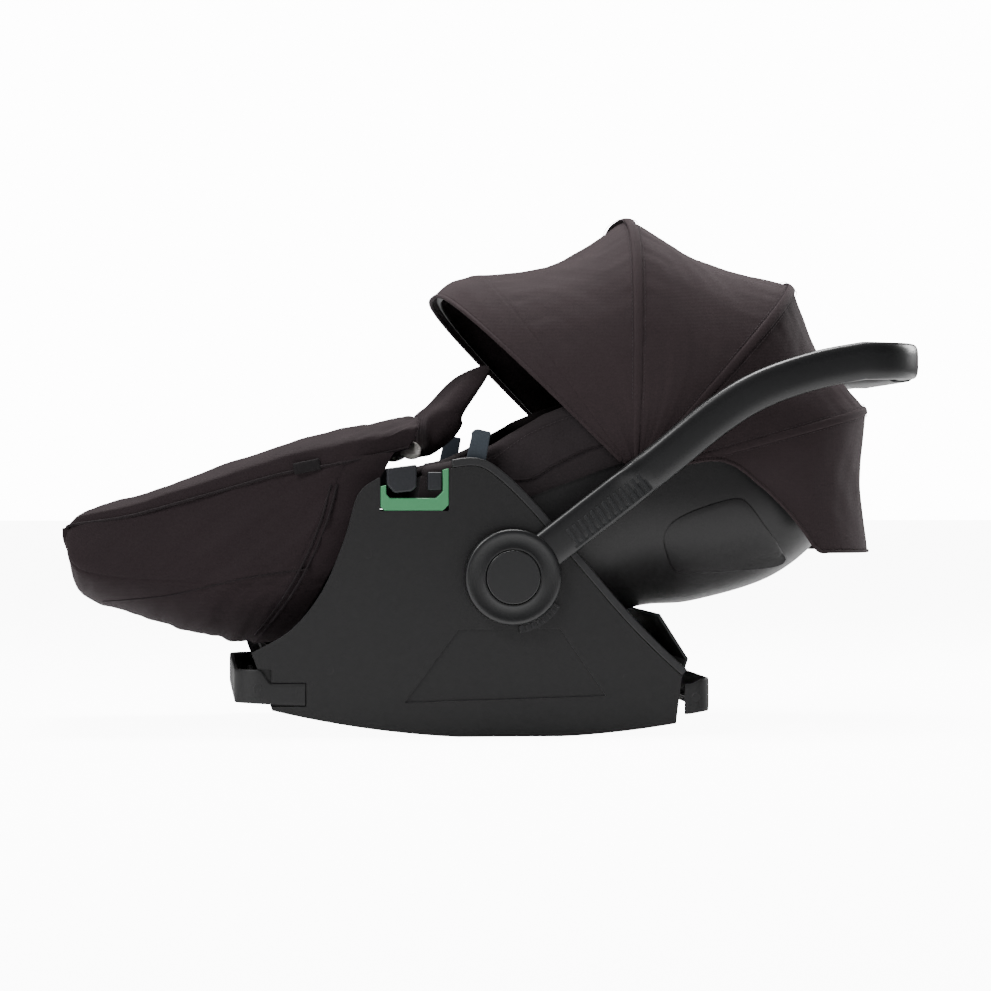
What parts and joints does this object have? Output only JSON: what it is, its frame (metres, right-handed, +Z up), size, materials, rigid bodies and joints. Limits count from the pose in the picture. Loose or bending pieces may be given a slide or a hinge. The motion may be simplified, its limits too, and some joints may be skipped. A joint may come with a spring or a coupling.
{
  "type": "infant car seat",
  "caption": "Rocker-base infant carrier with reclining bucket seat, swinging carry handle, folding hood, harness and padded foot muff.",
  "frame": {"origin": "on the floor, at the centre of the rocker's flat rest patch, straight under the handle and recline axis", "axes": "+X from the feet towards the head end, +Y across towards the child's right, +Z up"},
  "size_m": [0.9063, 0.4428, 0.5519],
  "materials": {
    "panel_plastic": "fine matte texture",
    "tub_plastic": "fine matte texture",
    "trim_plastic": "satin moulded",
    "guide_green": "satin moulded",
    "block_plastic": "satin moulded",
    "lever_plastic": "satin moulded",
    "shell_plastic": "fine matte texture",
    "handle_plastic": "semi-gloss moulded",
    "grip_rubber": "soft matte",
    "steel": "plain steel",
    "liner_foam": "expanded foam bead",
    "seat_fabric": "woven melange, padded",
    "canopy_fabric": "woven melange",
    "muff_fabric": "smooth woven, padded",
    "webbing": "woven harness webbing",
    "buckle_red": "satin moulded",
    "label_fabric": "woven blank tab"
  },
  "bodies": {
    "base": {"base_tub": "tub_plastic", "side_panel_left": "panel_plastic", "side_panel_right": "panel_plastic", "rim_trim_left": "trim_plastic", "rim_trim_right": "trim_plastic", "belt_guide_left": "guide_green", "belt_guide_right": "guide_green", "belt_hooks": "block_plastic", "belt_retainers": "block_plastic", "front_bumper": "tub_plastic", "rear_bumper": "tub_plastic", "latch_bars": "steel", "adapter_socket_left": "tub_plastic", "adapter_socket_right": "tub_plastic", "lever_pins": "steel", "pivot_axles": "steel", "lock_teeth": "tub_plastic", "panel_screws": "steel", "footmuff_body": "muff_fabric", "footmuff_cover": "muff_fabric", "footmuff_collar": "muff_fabric", "footmuff_tab": "label_fabric"},
    "seat": {"seat_shell": "shell_plastic", "shell_insets": "shell_plastic", "seat_pivots": "steel", "foam_liner": "liner_foam", "seat_pad": "seat_fabric", "cover_skirt": "seat_fabric", "shoulder_straps": "webbing", "shoulder_pads": "seat_fabric", "lap_straps": "webbing", "crotch_strap": "webbing", "crotch_pad": "seat_fabric", "buckle_body": "block_plastic", "buckle_tongues": "steel", "adjuster_housing": "block_plastic", "harness_yoke": "steel", "canopy_mounts": "block_plastic", "bow_rear": "block_plastic", "canopy_valance": "canopy_fabric"},
    "handle": {"handle_frame": "handle_plastic", "handle_grip": "grip_rubber", "arm_insert_left": "grip_rubber", "arm_insert_right": "grip_rubber"},
    "handle_button_left": {"handle_button_left": "trim_plastic"},
    "handle_button_right": {"handle_button_right": "trim_plastic"},
    "release_lever_left": {"release_lever_left": "lever_plastic"},
    "release_lever_right": {"release_lever_right": "lever_plastic"},
    "adapter_latch_left": {"adapter_latch_left": "steel"},
    "adapter_latch_right": {"adapter_latch_right": "steel"},
    "headrest": {"headrest_board": "shell_plastic", "headrest_pad": "seat_fabric"},
    "canopy_third": {"bow_third": "block_plastic", "canopy_rear_panel": "canopy_fabric"},
    "canopy_second": {"bow_second": "block_plastic", "canopy_middle_panel": "canopy_fabric"},
    "canopy_front": {"bow_front": "block_plastic", "canopy_front_panel": "canopy_fabric"},
    "buckle_button": {"buckle_button": "buckle_red"},
    "adjuster_button": {"adjuster_button": "lever_plastic"}
  },
  "joints": [
    {"name": "seat_recline", "type": "hinge", "parent": "base", "child": "seat", "pos_m": [0, 0, 0.166], "axis": [0, -1, 0], "range_deg": [0, 15]},
    {"name": "handle_turn", "type": "hinge", "parent": "base", "child": "handle", "pos_m": [0, 0, 0.166], "axis": [0, -1, 0], "range_deg": [-45, 75]},
    {"name": "handle_button_left_press", "type": "slide", "parent": "handle", "child": "handle_button_left", "axis": [0, 1, 0], "range_m": [0, 0.003], "stiffness_N_per_m": 800},
    {"name": "handle_button_right_press", "type": "slide", "parent": "handle", "child": "handle_button_right", "axis": [0, -1, 0], "range_m": [0, 0.003], "stiffness_N_per_m": 800},
    {"name": "release_lever_left_pull", "type": "hinge", "parent": "base", "child": "release_lever_left", "pos_m": [-0.036, 0, 0.24], "axis": [0, 1, 0], "range_deg": [0, 18], "stiffness_Nm_per_rad": 0.6},
    {"name": "release_lever_right_pull", "type": "hinge", "parent": "base", "child": "release_lever_right", "pos_m": [-0.036, 0, 0.24], "axis": [0, 1, 0], "range_deg": [0, 18], "stiffness_Nm_per_rad": 0.6},
    {"name": "adapter_latch_left_slide", "type": "slide", "parent": "base", "child": "adapter_latch_left", "axis": [1, 0, 0], "range_m": [0, 0.005]},
    {"name": "adapter_latch_right_slide", "type": "slide", "parent": "base", "child": "adapter_latch_right", "axis": [1, 0, 0], "range_m": [0, 0.005]},
    {"name": "headrest_slide", "type": "slide", "parent": "seat", "child": "headrest", "axis": [0.9455, 0, 0.3256], "range_m": [0, 0.04]},
    {"name": "canopy_third_fold", "type": "hinge", "parent": "seat", "child": "canopy_third", "pos_m": [0.132, 0, 0.272], "axis": [0, -1, 0], "range_deg": [-25, 0], "deforming": ["canopy_rear_panel"]},
    {"name": "canopy_second_fold", "type": "hinge", "parent": "canopy_third", "child": "canopy_second", "pos_m": [0.132, 0, 0.272], "axis": [0, -1, 0], "range_deg": [-35, 0], "deforming": ["canopy_middle_panel"]},
    {"name": "canopy_front_fold", "type": "hinge", "parent": "canopy_second", "child": "canopy_front", "pos_m": [0.132, 0, 0.272], "axis": [0, -1, 0], "range_deg": [-40, 0], "deforming": ["canopy_front_panel"]},
    {"name": "buckle_button_press", "type": "slide", "parent": "seat", "child": "buckle_button", "axis": [0, 0, -1], "range_m": [0, 0.003], "stiffness_N_per_m": 600},
    {"name": "adjuster_button_press", "type": "slide", "parent": "seat", "child": "adjuster_button", "axis": [-0.7431, 0, -0.6691], "range_m": [0, 0.003], "stiffness_N_per_m": 600}
  ],
  "couplings": [
    {"joint": "adapter_latch_left_slide", "follows": "release_lever_left_pull", "m_per_rad": 0.0159},
    {"joint": "adapter_latch_right_slide", "follows": "release_lever_right_pull", "m_per_rad": 0.0159},
    {"joint": "canopy_second_fold", "follows": "canopy_front_fold", "ratio": 0.875},
    {"joint": "canopy_third_fold", "follows": "canopy_front_fold", "ratio": 0.625}
  ]
}
